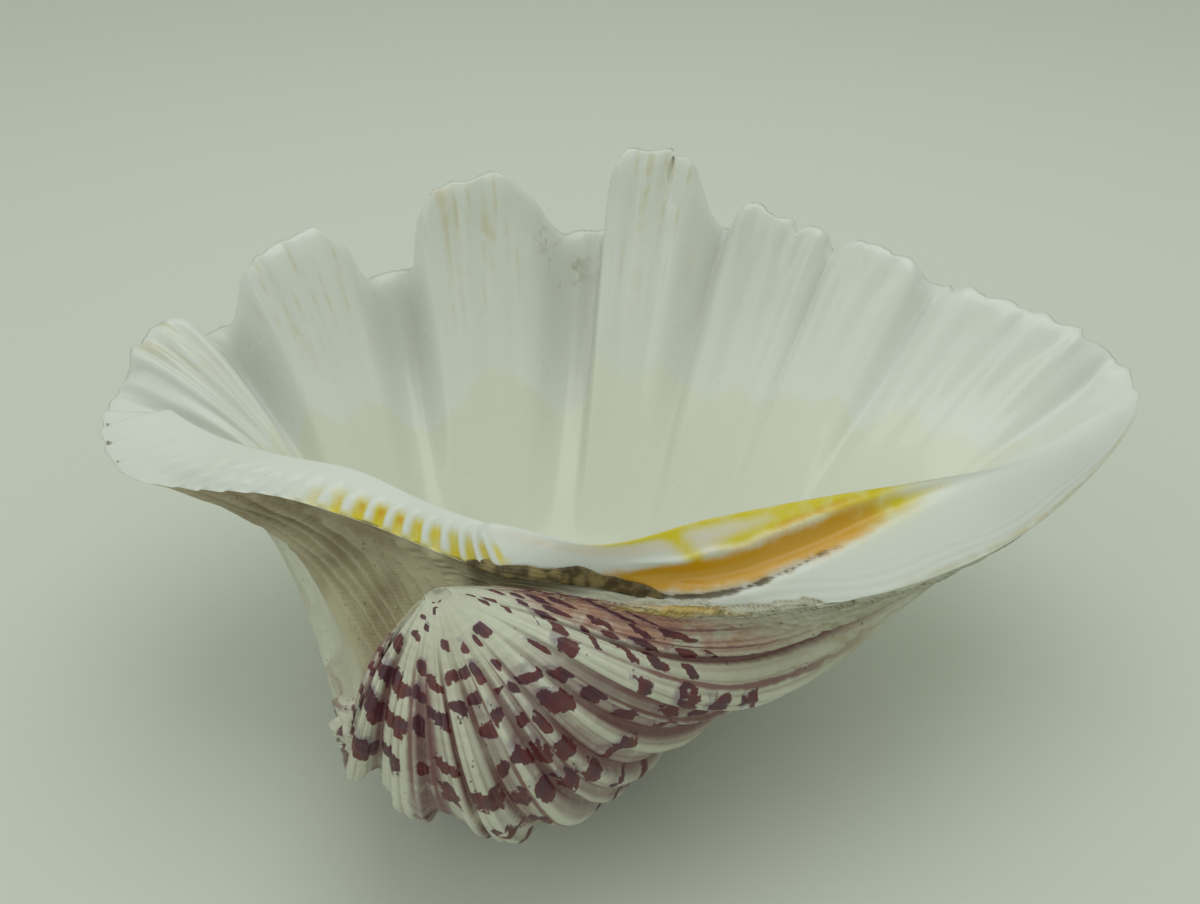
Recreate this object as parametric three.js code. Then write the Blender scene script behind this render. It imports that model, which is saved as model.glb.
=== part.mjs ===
// One valve of a bear-paw giant clam, lying hollow side up, with the dried remnant of its ligament.
// Millimetres, +Z up, +X towards the long end, +Y from the hinge to the folded margin.
import * as THREE from "three";

// ---------------------------------------------------------------- driving dimensions

// The margin, read once round from the meeting of lip and hinge. AROUND runs from 0 to 1:
// out along the crinkled lip, round the folded margin, and back along the hinge.
// trough and tongue: where the margin lies at the bottom and at the top of its folds, from the beak.
// coil: turn about the hinge, in radians, for each e-fold of size. taper: how fast the width shrinks
// towards the beak. flare: how flat the margin runs before the wall turns down.
const MARGIN = [
  { at: 0.0, trough: [8, 4, 0], tongue: [8, 4, 0], coil: 2.0, taper: 1.15, flare: 0 },
  { at: 0.03, trough: [-9, 10, 3], tongue: [-9, 10, 3], coil: 2.0, taper: 1.3, flare: 0.1 },
  { at: 0.065, trough: [-32, 22, 4], tongue: [-32, 22, 4], coil: 2.1, taper: 2.0, flare: 0.3 },
  { at: 0.1, trough: [-60, 35, 3], tongue: [-60, 35, 3], coil: 2.2, taper: 2.5, flare: 0.5 },
  { at: 0.135, trough: [-87, 42, 0], tongue: [-87, 42, 0], coil: 2.35, taper: 3.0, flare: 0.6 },
  { at: 0.165, trough: [-109, 52, -2], tongue: [-109, 52, -2], coil: 2.45, taper: 3.0, flare: 0.75 },
  { at: 0.19, trough: [-126, 77, -4], tongue: [-126, 77, -3], coil: 2.5, taper: 3.05, flare: 0.8 },
  { at: 0.215, trough: [-131, 101, -5], tongue: [-128, 98, 3], coil: 2.45, taper: 2.55, flare: 0.65 },
  { at: 0.255, trough: [-123, 128, -4], tongue: [-118, 118, 13], coil: 2.3, taper: 2.0, flare: 0.4 },
  { at: 0.305, trough: [-94, 153, 0], tongue: [-88, 142, 28], coil: 2.15, taper: 1.5, flare: 0.15 },
  { at: 0.36, trough: [-51, 181, 3], tongue: [-50, 168, 36], coil: 2.08, taper: 1.35, flare: 0 },
  { at: 0.43, trough: [18, 210, 7], tongue: [12, 196, 42], coil: 2.0, taper: 1.25, flare: 0 },
  { at: 0.49, trough: [66, 208, 11], tongue: [62, 199, 45], coil: 2.0, taper: 1.2, flare: 0 },
  { at: 0.54, trough: [104, 192, 13], tongue: [102, 183, 26], coil: 1.9, taper: 1.15, flare: 0 },
  { at: 0.59, trough: [136, 172, 12], tongue: [135, 163, 23], coil: 1.78, taper: 1.07, flare: 0 },
  { at: 0.64, trough: [172, 150, 7], tongue: [166, 142, 15], coil: 1.68, taper: 1.05, flare: 0 },
  { at: 0.68, trough: [199, 128, 6], tongue: [193, 122, 12], coil: 1.64, taper: 1.03, flare: 0 },
  { at: 0.715, trough: [210, 106, 3], tongue: [206, 102, 7], coil: 1.75, taper: 1.03, flare: 0 },
  { at: 0.745, trough: [205, 82, 0], tongue: [205, 82, 1], coil: 1.7, taper: 1.02, flare: 0 },
  { at: 0.79, trough: [176, 51, -8], tongue: [176, 51, -8], coil: 1.65, taper: 1.02, flare: 0 },
  { at: 0.84, trough: [141, 24, -10], tongue: [141, 24, -10], coil: 1.65, taper: 1.02, flare: 0 },
  { at: 0.89, trough: [100, 6, -10], tongue: [100, 6, -10], coil: 1.7, taper: 1.05, flare: 0 },
  { at: 0.94, trough: [62, 1, -8], tongue: [62, 1, -8], coil: 1.8, taper: 1.08, flare: 0 },
  { at: 0.975, trough: [32, 4, -4], tongue: [32, 4, -4], coil: 1.9, taper: 1.12, flare: 0 },
  { at: 1.0, trough: [8, 4, 0], tongue: [8, 4, 0], coil: 2.0, taper: 1.15, flare: 0 },
];

// Tongues of the margin: flat top from left to right, then how far each side takes to fall away.
const TONGUES = [
  { left: 0.236, right: 0.257, leftSide: 0.018, rightSide: 0.016 },
  { left: 0.304, right: 0.331, leftSide: 0.016, rightSide: 0.022 },
  { left: 0.384, right: 0.409, leftSide: 0.015, rightSide: 0.022 },
  { left: 0.467, right: 0.4945, leftSide: 0.012, rightSide: 0.02 },
  { left: 0.529, right: 0.546, leftSide: 0.012, rightSide: 0.007 },
  { left: 0.555, right: 0.562, leftSide: 0.005, rightSide: 0.012 },
  { left: 0.584, right: 0.61, leftSide: 0.012, rightSide: 0.014 },
  { left: 0.643, right: 0.664, leftSide: 0.016, rightSide: 0.006 },
  { left: 0.671, right: 0.689, leftSide: 0.006, rightSide: 0.014 },
];

// Crest of the hinge plate and of the crinkled lip, from the long end round to the short end.
// These run on past 1, because the crest passes the point where AROUND starts again.
const CREST = [
  { at: 0.715, point: [200, 93, 4] },
  { at: 0.745, point: [184, 73, 3] },
  { at: 0.79, point: [155, 50, 4] },
  { at: 0.84, point: [120, 37, 6] },
  { at: 0.89, point: [88, 26, 8] },
  { at: 0.94, point: [60, 15, 10] },
  { at: 0.975, point: [33, 5, 10] },
  { at: 1.0, point: [9, 14, 9] },
  { at: 1.03, point: [1, 15, 10] },
  { at: 1.065, point: [-15, 25, 9] },
  { at: 1.1, point: [-37, 42, 7] },
  { at: 1.135, point: [-60, 53, 4] },
  { at: 1.165, point: [-84, 66, 2] },
  { at: 1.19, point: [-105, 84, 0] },
  { at: 1.215, point: [-117, 100, 0] },
];

const BOWL_BOTTOM = [22, 58, -86]; // lowest point of the hollow, from the beak
const REST_LEVEL = -98; // rib crests under the belly are worn flat here, and the valve rests on them

const MEAN_SHARE = 0.45; // share of the tongue level in the middle line of the folds
const FOLD_FADE = 0.7; // folds grow with this power of the size, on top of the size itself
const LARGEST_TURN = 2.95; // radians from the margin to the tip of the beak
const TURN_SOFTNESS = 2.2; // how sharply the coil stops at that turn
const FLARE_REACH = 0.5; // how deep below the margin the flare goes, in e-folds of size
const TAPER_REACH = 0.3; // the same for the taper
const BEAK_LEAN = 9; // the tip of the beak leans this far towards the short end
const LEAN_REACH = 0.25; // size at which the lean has mostly gone
const SMALLEST_SIZE = 1e-4;

const EDGE_THICKNESS = 2.8;
const DEEP_THICKNESS = 9;
const EDGE_REACH = 0.01; // the folds come to their full width over this share of the size
const EDGE_ROUNDING = 0.008; // and the edge comes to its thickness over this share
const INNER_GROWTH = 0.006; // tongues are wider on the inner face, by the thickness of their sides
const OUTER_SHRINK = -0.003;
const THICKENING = { from: 0.72, to: 0.97 }; // sizes between which the wall gets thinner
const INNER_FOLDS = { from: 0.66, to: 0.95 }; // sizes between which the inner folds appear
const SLOPE_STEP = 0.002; // step in place and size for the direction of the wall

const WALL_END = 0.7; // size at which the inner wall leaves the folds and turns into the floor
const WALL_END_STEP = 0.005;
const FLOOR_REACH = 0.33; // how far the floor stays level from the bottom of the bowl
const WALL_HOLD = 0.36; // how far the wall keeps its direction into the floor
const LIP_BULGE = 1.5;
const CREST_WIDTH = 60; // how far along the hinge the deep drop behind the plate reaches
const CREST_MIDDLE = 30;
const CREST_HOLD = 0.3; // share of the way to the bottom at which the drop is aimed
const PLATE_HOLD = 0.2; // taken off that share behind the plate
const PLATE_DROP = [0, -8, -45]; // the drop behind the plate starts this way
const LIP_FLOOR_REACH = 0.22;
const PLATE_FLOOR_REACH = 0.33; // added to that reach behind the plate

// Where the hinge side takes over from the folded side, and where it hands back, past the lip.
const HINGE_STARTS = { from: 0.7, to: 0.745 };
const HINGE_ENDS = { from: 1.19, to: 1.225 };
const LIP_ENDS = 0.365; // places before this one belong to the lip in the crest table

const COLUMNS = 128; // round the margin
const OUTER_ROWS = 17;
const FIRST_SIZE = 0.06; // size of the ring nearest to the beak
const EDGE_STEPS = [0.015, 0.05, 0.12]; // rings close together over the rounded edge
const INNER_ROWS = 14;
const FIRST_INNER_STEP = 0.22;
const LAST_INNER_STEP = 1.9;

const LIGAMENT = {
  from: 0.962, // places along the hinge
  to: 1.012,
  outer: 0.985, // across the hinge, 1 at the edge and 0 at the crest
  inner: 0.8,
  gap: 0.9,
  thickness: 1.6,
  columns: 16,
  rows: 4,
};

// ---------------------------------------------------------------- small helpers

const ease = (from, to, value) => {
  const t = Math.min(Math.max((value - from) / (to - from), 0), 1);
  return t * t * (3 - 2 * t);
};

const mix = (a, b, share) => a.map((value, i) => value + (b[i] - value) * share);

const add = (a, b, scale = 1) => a.map((value, i) => value + b[i] * scale);

const length = (a) => Math.hypot(...a);

const unit = (a) => a.map((value) => value / (length(a) + 1e-12));

const cross = (a, b) => [
  a[1] * b[2] - a[2] * b[1],
  a[2] * b[0] - a[0] * b[2],
  a[0] * b[1] - a[1] * b[0],
];

// A smooth curve through rows of a table: each row has a place `at`, and read gives its numbers.
function along(table, place, read) {
  const last = table.length - 1;
  let i = 0;
  while (i < last - 1 && place >= table[i + 1].at) i += 1;
  const slope = (k) => {
    const before = table[Math.max(k - 1, 0)];
    const after = table[Math.min(k + 1, last)];
    return read(after).map((value, n) => (value - read(before)[n]) / (after.at - before.at));
  };
  const step = table[i + 1].at - table[i].at;
  const t = (place - table[i].at) / step;
  const startSlope = slope(i);
  const endSlope = slope(i + 1);
  const start = read(table[i]);
  const end = read(table[i + 1]);
  return start.map(
    (value, n) =>
      (2 * t ** 3 - 3 * t ** 2 + 1) * value +
      (t ** 3 - 2 * t ** 2 + t) * step * startSlope[n] +
      (3 * t ** 2 - 2 * t ** 3) * end[n] +
      (t ** 3 - t ** 2) * step * endSlope[n],
  );
}

const bezier = (p0, p1, p2, p3, t) =>
  p0.map(
    (value, i) =>
      value * (1 - t) ** 3 +
      3 * p1[i] * t * (1 - t) ** 2 +
      3 * p2[i] * t ** 2 * (1 - t) +
      p3[i] * t ** 3,
  );

// ---------------------------------------------------------------- growth surface

// 1 on a tongue and 0 in a trough. widen moves both sides of every tongue outwards.
function foldAt(around, widen) {
  return Math.max(
    ...TONGUES.map(
      ({ left, right, leftSide, rightSide }) =>
        ease(left - leftSide, left, around + widen) *
        (1 - ease(right, right + rightSide, around - widen)),
    ),
  );
}

// The place of the margin when the shell had this size: the margin of today, shrunk and turned back.
function grown(aroundAny, size, foldStrength, widen) {
  const around = ((aroundAny % 1) + 1) % 1;
  const trough = along(MARGIN, around, (row) => row.trough);
  const tongue = along(MARGIN, around, (row) => row.tongue);
  const [coil, taper, flare] = along(MARGIN, around, (row) => [row.coil, row.taper, row.flare]);
  const middle = mix(trough, tongue, MEAN_SHARE);
  const folded = mix(trough, tongue, foldAt(around, widen));
  const [x, y, z] = mix(middle, folded, foldStrength);
  const age = Math.log(1 / Math.max(size, SMALLEST_SIZE));
  const freeTurn = coil * age * (1 - flare * Math.exp(-age / FLARE_REACH));
  const bounded = Math.tanh((freeTurn / LARGEST_TURN) ** TURN_SOFTNESS);
  const turn = LARGEST_TURN * bounded ** (1 / TURN_SOFTNESS);
  const tapered = TAPER_REACH * (1 - Math.exp(-age / TAPER_REACH));
  const narrowing = Math.exp(-(taper - 1) * tapered);
  const lean = BEAK_LEAN * Math.exp(-((size / LEAN_REACH) ** 2));
  return [
    x * size * narrowing - lean,
    size * (y * Math.cos(turn) + z * Math.sin(turn)),
    size * (z * Math.cos(turn) - y * Math.sin(turn)),
  ];
}

const awayFromEdge = (size) => 1 - Math.exp(-(1 - size) / EDGE_REACH);

function outerPoint(around, size) {
  const point = grown(around, size, size ** FOLD_FADE, OUTER_SHRINK * awayFromEdge(size));
  point[2] = Math.max(point[2], REST_LEVEL);
  return point;
}

// The inner face of the ribbed wall: the growth surface, moved in by the thickness.
function wallPoint(around, size) {
  const step = SLOPE_STEP;
  const acrossStep = add(grown(around + step, size, 0, 0), grown(around - step, size, 0, 0), -1);
  const alongStep = add(grown(around, size + step, 0, 0), grown(around, size - step, 0, 0), -1);
  const inwards = unit(cross(acrossStep, alongStep));
  const strength = size ** FOLD_FADE * ease(INNER_FOLDS.from, INNER_FOLDS.to, size);
  const point = grown(around, size, strength, INNER_GROWTH * awayFromEdge(size));
  const thickness =
    EDGE_THICKNESS * (1 - Math.exp(-(1 - size) / EDGE_ROUNDING)) +
    DEEP_THICKNESS * (1 - ease(THICKENING.from, THICKENING.to, size));
  return add(point, inwards, size >= 1 ? 0 : thickness);
}

// ---------------------------------------------------------------- hollow side

// A point of the floor: it leaves the bottom of the bowl level and ends at edge, coming from handle.
function floorPoint(edge, handle, reach, t) {
  const level = [edge[0] - BOWL_BOTTOM[0], edge[1] - BOWL_BOTTOM[1], 0];
  return bezier(BOWL_BOTTOM, add(BOWL_BOTTOM, level, reach), handle, edge, t);
}

// Under the ribbed margin: the wall from the edge down, then the floor. inward runs from 0 to 2.
function ribbedPoint(around, inward) {
  if (inward <= 1) return wallPoint(around, 1 - (1 - WALL_END) * inward);
  const edge = wallPoint(around, WALL_END);
  const above = wallPoint(around, WALL_END + WALL_END_STEP);
  const below = wallPoint(around, WALL_END - WALL_END_STEP);
  const rise = unit(add(above, below, -1));
  const handle = add(edge, rise, -WALL_HOLD * length(add(edge, BOWL_BOTTOM, -1)));
  return floorPoint(edge, handle, FLOOR_REACH, 2 - inward);
}

// Behind the lip and the hinge plate: from the edge up to the crest, then a drop into the bowl.
function hingePoint(around, inward) {
  const place = around < LIP_ENDS ? around + 1 : around;
  const held = Math.min(Math.max(place, CREST[0].at), CREST.at(-1).at);
  const crest = along(CREST, held, (row) => row.point);
  if (inward <= 1) {
    const point = mix(grown(around, 1, 1, 0), crest, inward);
    return add(point, [0, 0, LIP_BULGE * Math.sin(Math.PI * inward)]);
  }
  const nearPlate = Math.exp(-(((crest[0] - CREST_MIDDLE) / CREST_WIDTH) ** 2));
  const towardsBowl = mix(crest, BOWL_BOTTOM, CREST_HOLD - PLATE_HOLD * nearPlate);
  const handle = add(towardsBowl, PLATE_DROP, nearPlate);
  const reach = LIP_FLOOR_REACH + PLATE_FLOOR_REACH * nearPlate;
  return floorPoint(crest, handle, reach, 2 - inward);
}

function innerPoint(around, inward) {
  const place = around < 0.5 ? around + 1 : around;
  const started = ease(HINGE_STARTS.from, HINGE_STARTS.to, place);
  const ended = ease(HINGE_ENDS.from, HINGE_ENDS.to, place);
  return mix(ribbedPoint(around, inward), hingePoint(around, inward), started * (1 - ended));
}

// ---------------------------------------------------------------- meshes

function closedMesh(points, triangles) {
  const geometry = new THREE.BufferGeometry();
  geometry.setAttribute("position", new THREE.Float32BufferAttribute(points.flat(), 3));
  geometry.setIndex(triangles.flat());
  geometry.computeVertexNormals();
  return geometry;
}

// Rings of points from the beak, over the outside, round the edge and down to the bowl's bottom.
function valveGeometry() {
  const evenly = (from, to, count) =>
    Array.from({ length: count }, (_, i) => from + ((to - from) * i) / (count - 1));
  const sizes = evenly(FIRST_SIZE, 1, OUTER_ROWS);
  const inwardSteps = [...EDGE_STEPS, ...evenly(FIRST_INNER_STEP, LAST_INNER_STEP, INNER_ROWS)];
  const places = Array.from({ length: COLUMNS }, (_, i) => i / COLUMNS);
  const rings = [
    ...sizes.map((size) => places.map((around) => outerPoint(around, size))),
    ...inwardSteps.map((step) => places.map((around) => innerPoint(around, step))),
  ];
  const points = [[-BEAK_LEAN, 0, 0], ...rings.flat(), BOWL_BOTTOM];
  const triangles = [];
  const vertex = (ring, column) => 1 + ring * COLUMNS + (column % COLUMNS);
  for (let column = 0; column < COLUMNS; column += 1) {
    triangles.push([0, vertex(0, column), vertex(0, column + 1)]);
    for (let ring = 0; ring < rings.length - 1; ring += 1) {
      const corners = [
        vertex(ring, column),
        vertex(ring + 1, column),
        vertex(ring + 1, column + 1),
        vertex(ring, column + 1),
      ];
      triangles.push([corners[0], corners[1], corners[2]]);
      triangles.push([corners[0], corners[2], corners[3]]);
    }
    const lastRing = rings.length - 1;
    triangles.push([vertex(lastRing, column + 1), vertex(lastRing, column), points.length - 1]);
  }
  return closedMesh(points, triangles);
}

// A thin curved strip that follows the hinge just outside the shell.
function ligamentGeometry() {
  const { columns, rows } = LIGAMENT;
  const points = [];
  for (const height of [LIGAMENT.gap, LIGAMENT.gap + LIGAMENT.thickness]) {
    for (let i = 0; i <= columns; i += 1) {
      for (let j = 0; j <= rows; j += 1) {
        const around = LIGAMENT.from + ((LIGAMENT.to - LIGAMENT.from) * i) / columns;
        const inward = 1 - LIGAMENT.outer + ((LIGAMENT.outer - LIGAMENT.inner) * j) / rows;
        points.push(add(hingePoint(around % 1, inward), [0, 0, height]));
      }
    }
  }
  const layer = (columns + 1) * (rows + 1);
  const index = (top, i, j) => top * layer + i * (rows + 1) + j;
  const triangles = [];
  const face = (a, b, c, d) => triangles.push([a, b, c], [a, c, d]);
  for (let i = 0; i < columns; i += 1) {
    for (let j = 0; j < rows; j += 1) {
      face(index(1, i, j), index(1, i, j + 1), index(1, i + 1, j + 1), index(1, i + 1, j));
      face(index(0, i, j), index(0, i + 1, j), index(0, i + 1, j + 1), index(0, i, j + 1));
    }
    face(index(0, i, 0), index(1, i, 0), index(1, i + 1, 0), index(0, i + 1, 0));
    face(index(0, i + 1, rows), index(1, i + 1, rows), index(1, i, rows), index(0, i, rows));
  }
  for (let j = 0; j < rows; j += 1) {
    face(index(0, 0, j + 1), index(1, 0, j + 1), index(1, 0, j), index(0, 0, j));
    face(index(0, columns, j), index(1, columns, j), index(1, columns, j + 1), index(0, columns, j + 1));
  }
  return closedMesh(points, triangles);
}

function piece(name, geometry, colour, roughness) {
  const material = new THREE.MeshStandardMaterial({ color: colour, roughness, metalness: 0 });
  const mesh = new THREE.Mesh(geometry, material);
  mesh.name = name;
  return mesh;
}

const valve = piece("valve", valveGeometry(), 0xe9e6dc, 0.45);
const ligament = piece("ligament", ligamentGeometry(), 0x4a3a24, 0.8);

// The beak is the origin while the shell is made. The part's own origin is under its middle.
valve.geometry.computeBoundingBox();
const box = valve.geometry.boundingBox;
const shell = new THREE.Group();
shell.add(valve, ligament);
shell.position.set(-(box.min.x + box.max.x) / 2, -(box.min.y + box.max.y) / 2, -box.min.z);

const part = new THREE.Group();
part.add(shell);
export default part;
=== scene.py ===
# %% [markdown]
# # A giant clam valve
# The CAD part gives the valve its place, its size and the surface it rests on. This lesson gives it
# the look of shell: folds and riblets that follow the way the animal grew, a porcelain inside, a
# speckled outside, and the dried brown remnant of the ligament. First the frame is loaded.

# %% Load the frame
import math

import bpy
import numpy as np
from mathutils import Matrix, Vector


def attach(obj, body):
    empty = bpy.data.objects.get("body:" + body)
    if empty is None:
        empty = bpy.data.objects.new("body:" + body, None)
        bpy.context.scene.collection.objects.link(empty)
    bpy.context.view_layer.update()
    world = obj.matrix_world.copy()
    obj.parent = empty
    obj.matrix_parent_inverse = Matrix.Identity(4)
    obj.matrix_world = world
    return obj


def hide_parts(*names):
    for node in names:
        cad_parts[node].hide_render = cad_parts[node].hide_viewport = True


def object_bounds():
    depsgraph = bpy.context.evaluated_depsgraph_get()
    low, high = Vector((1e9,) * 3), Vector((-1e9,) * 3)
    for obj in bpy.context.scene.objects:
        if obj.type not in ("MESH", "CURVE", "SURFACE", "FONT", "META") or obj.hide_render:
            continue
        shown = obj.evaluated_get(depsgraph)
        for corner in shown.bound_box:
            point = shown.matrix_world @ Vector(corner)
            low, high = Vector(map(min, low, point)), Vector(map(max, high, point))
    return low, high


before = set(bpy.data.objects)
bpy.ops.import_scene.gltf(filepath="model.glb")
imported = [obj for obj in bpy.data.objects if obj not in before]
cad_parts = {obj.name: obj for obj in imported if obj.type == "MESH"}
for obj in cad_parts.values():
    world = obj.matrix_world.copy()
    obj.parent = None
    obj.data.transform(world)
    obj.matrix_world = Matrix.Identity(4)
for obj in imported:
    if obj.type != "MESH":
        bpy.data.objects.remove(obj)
cad_low, cad_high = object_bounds()
MM = 0.001
print("frame box in mm:", [round(v / MM) for v in cad_low], [round(v / MM) for v in cad_high])

# %% [markdown]
# ## How a shell grows
# A clam adds shell only along its margin, and the margin keeps its shape while it gets bigger. So
# every older margin is today's margin, shrunk towards the beak and turned back about the hinge. One
# table of places along the margin and one rule for the turn therefore give the whole outside. It
# could also be sculpted, but then ribs and growth lines would not run true to each other.

# %% The margin and how it coils
# Each row: place round the margin, x y z at trough level, x y z at tongue level (mm from the beak),
# coil (radians per e-fold of size), taper of the width, flare of the wall under the margin.
MARGIN = np.array([
    (0.000, 8, 4, 0, 8, 4, 0, 2.00, 1.15, 0.00),
    (0.030, -9, 10, 3, -9, 10, 3, 2.00, 1.30, 0.10),
    (0.065, -32, 22, 4, -32, 22, 4, 2.10, 2.00, 0.30),
    (0.100, -60, 35, 3, -60, 35, 3, 2.20, 2.50, 0.50),
    (0.135, -87, 42, 0, -87, 42, 0, 2.35, 3.00, 0.60),
    (0.165, -109, 52, -2, -109, 52, -2, 2.45, 3.00, 0.75),
    (0.190, -126, 77, -4, -126, 77, -3, 2.50, 3.05, 0.80),
    (0.215, -131, 101, -5, -128, 98, 3, 2.45, 2.55, 0.65),
    (0.255, -123, 128, -4, -118, 118, 13, 2.30, 2.00, 0.40),
    (0.305, -94, 153, 0, -88, 142, 28, 2.15, 1.50, 0.15),
    (0.360, -51, 181, 3, -50, 168, 36, 2.08, 1.35, 0.00),
    (0.430, 18, 210, 7, 12, 196, 42, 2.00, 1.25, 0.00),
    (0.490, 66, 208, 11, 62, 199, 45, 2.00, 1.20, 0.00),
    (0.540, 104, 192, 13, 102, 183, 26, 1.90, 1.15, 0.00),
    (0.590, 136, 172, 12, 135, 163, 23, 1.78, 1.07, 0.00),
    (0.640, 172, 150, 7, 166, 142, 15, 1.68, 1.05, 0.00),
    (0.680, 199, 128, 6, 193, 122, 12, 1.64, 1.03, 0.00),
    (0.715, 210, 106, 3, 206, 102, 7, 1.75, 1.03, 0.00),
    (0.745, 205, 82, 0, 205, 82, 1, 1.70, 1.02, 0.00),
    (0.790, 176, 51, -8, 176, 51, -8, 1.65, 1.02, 0.00),
    (0.840, 141, 24, -10, 141, 24, -10, 1.65, 1.02, 0.00),
    (0.890, 100, 6, -10, 100, 6, -10, 1.70, 1.05, 0.00),
    (0.940, 62, 1, -8, 62, 1, -8, 1.80, 1.08, 0.00),
    (0.975, 32, 4, -4, 32, 4, -4, 1.90, 1.12, 0.00),
    (1.000, 8, 4, 0, 8, 4, 0, 2.00, 1.15, 0.00),
])
# Flat top of each tongue from left to right, then how far its two sides take to fall away.
TONGUES = [
    (0.236, 0.257, 0.018, 0.016), (0.304, 0.331, 0.016, 0.022), (0.384, 0.409, 0.015, 0.022),
    (0.467, 0.4945, 0.012, 0.020), (0.529, 0.546, 0.012, 0.007), (0.555, 0.562, 0.005, 0.012),
    (0.584, 0.610, 0.012, 0.014), (0.643, 0.664, 0.016, 0.006), (0.671, 0.689, 0.006, 0.014),
]
MEAN_SHARE, FOLD_FADE = 0.45, 0.7
LARGEST_TURN, TURN_SOFTNESS = 2.95, 2.2
FLARE_REACH, TAPER_REACH = 0.5, 0.3
BEAK_LEAN, LEAN_REACH = 9.0, 0.25
REST_LEVEL = -98.0


def ease(start, end, value):
    t = np.clip((value - start) / (end - start), 0, 1)
    return t * t * (3 - 2 * t)


def along(table, place):
    """Smooth curve through the rows of a table, whose first column is the place."""
    at, rows = table[:, 0], table[:, 1:]
    last = len(at) - 1
    before, after = np.maximum(np.arange(last + 1) - 1, 0), np.minimum(np.arange(last + 1) + 1, last)
    slope = (rows[after] - rows[before]) / (at[after] - at[before])[:, None]
    i = np.clip(np.searchsorted(at, place, side="right") - 1, 0, last - 1)
    step = (at[i + 1] - at[i])[..., None]
    t = (place - at[i])[..., None] / step
    return ((2 * t**3 - 3 * t**2 + 1) * rows[i] + (t**3 - 2 * t**2 + t) * step * slope[i]
            + (3 * t**2 - 2 * t**3) * rows[i + 1] + (t**3 - t**2) * step * slope[i + 1])


def fold_at(around, widen=0.0):
    """1 on a tongue, 0 in a trough."""
    result = np.zeros_like(around + widen)
    for left, right, left_side, right_side in TONGUES:
        rise = ease(left - left_side, left, around + widen)
        fall = 1 - ease(right, right + right_side, around - widen)
        result = np.maximum(result, rise * fall)
    return result


def grown(around, size, strength, widen=0.0):
    """The margin when the shell had this share of its size."""
    around = around % 1
    row = along(MARGIN, around)
    trough, tongue = row[..., 0:3], row[..., 3:6]
    coil, taper, flare = row[..., 6], row[..., 7], row[..., 8]
    middle = trough + (tongue - trough) * MEAN_SHARE
    folded = trough + (tongue - trough) * fold_at(around, widen)[..., None]
    point = middle + (folded - middle) * np.asarray(strength)[..., None]
    age = np.log(1 / np.maximum(size, 1e-4))
    free_turn = coil * age * (1 - flare * np.exp(-age / FLARE_REACH))
    turn = LARGEST_TURN * np.tanh((free_turn / LARGEST_TURN) ** TURN_SOFTNESS) ** (1 / TURN_SOFTNESS)
    narrowing = np.exp(-(taper - 1) * TAPER_REACH * (1 - np.exp(-age / TAPER_REACH)))
    lean = BEAK_LEAN * np.exp(-(size / LEAN_REACH) ** 2)
    x, y, z = point[..., 0], point[..., 1], point[..., 2]
    return np.stack([x * size * narrowing - lean,
                     size * (y * np.cos(turn) + z * np.sin(turn)),
                     size * (z * np.cos(turn) - y * np.sin(turn))], -1)


print("margin rows:", len(MARGIN), "tongues:", len(TONGUES))

# %% [markdown]
# ## The hollow side
# Inside, the ribbed wall follows the outside at the thickness of the shell, and its folds die away
# towards the smooth floor. Behind the hinge there is no wall: the surface climbs from the edge to a
# crest, which is the crinkled lip on one side and the hinge plate on the other, and then drops into
# the bowl. Two rules are mixed where the hinge side meets the folded side.

# %% Wall, floor, lip and hinge plate
# Crest of the hinge plate and the lip: place, then x y z in mm from the beak.
CREST = np.array([
    (0.715, 200, 93, 4), (0.745, 184, 73, 3), (0.790, 155, 50, 4), (0.840, 120, 37, 6),
    (0.890, 88, 26, 8), (0.940, 60, 15, 10), (0.975, 33, 5, 10), (1.000, 9, 14, 9),
    (1.030, 1, 15, 10), (1.065, -15, 25, 9), (1.100, -37, 42, 7), (1.135, -60, 53, 4),
    (1.165, -84, 66, 2), (1.190, -105, 84, 0), (1.215, -117, 100, 0),
])
BOWL_BOTTOM = np.array([22.0, 58.0, -86.0])
EDGE_THICKNESS, DEEP_THICKNESS, WALL_END = 2.8, 9.0, 0.70
LIP_BULGE = 1.5


def unit(v):
    return v / (np.linalg.norm(v, axis=-1, keepdims=True) + 1e-12)


def away_from_edge(size):
    return 1 - np.exp(-(1 - size) / 0.01)


def outer_point(around, size):
    return grown(around, size, size**FOLD_FADE, -0.003 * away_from_edge(size))


def wall_point(around, size):
    zero, step = np.zeros_like(size), 0.002
    across = grown(around + step, size, zero) - grown(around - step, size, zero)
    lengthwise = grown(around, size + step, zero) - grown(around, size - step, zero)
    inwards = unit(np.cross(across, lengthwise))
    strength = size**FOLD_FADE * ease(0.66, 0.95, size)
    thickness = (EDGE_THICKNESS * (1 - np.exp(-(1 - size) / 0.008))
                 + DEEP_THICKNESS * (1 - ease(0.72, 0.97, size)))
    return grown(around, size, strength, 0.006 * away_from_edge(size)) + inwards * thickness[..., None]


def floor_point(edge, handle, reach, t):
    """Leaves the bottom of the bowl level and ends at edge, coming from handle."""
    level = (edge - BOWL_BOTTOM) * (1, 1, 0)
    t = t[..., None]
    first = BOWL_BOTTOM + level * reach
    return (BOWL_BOTTOM * (1 - t)**3 + 3 * first * t * (1 - t)**2
            + 3 * handle * t**2 * (1 - t) + edge * t**3)


def ribbed_point(around, inward):
    wall = wall_point(around, 1 - (1 - WALL_END) * np.minimum(inward, 1))
    end = np.full_like(around, WALL_END)
    edge = wall_point(around, end)
    rise = unit(wall_point(around, end + 0.005) - wall_point(around, end - 0.005))
    handle = edge - rise * 0.36 * np.linalg.norm(edge - BOWL_BOTTOM, axis=-1, keepdims=True)
    floor = floor_point(edge, handle, 0.33, 2 - np.maximum(inward, 1))
    return np.where((inward <= 1)[..., None], wall, floor)


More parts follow.
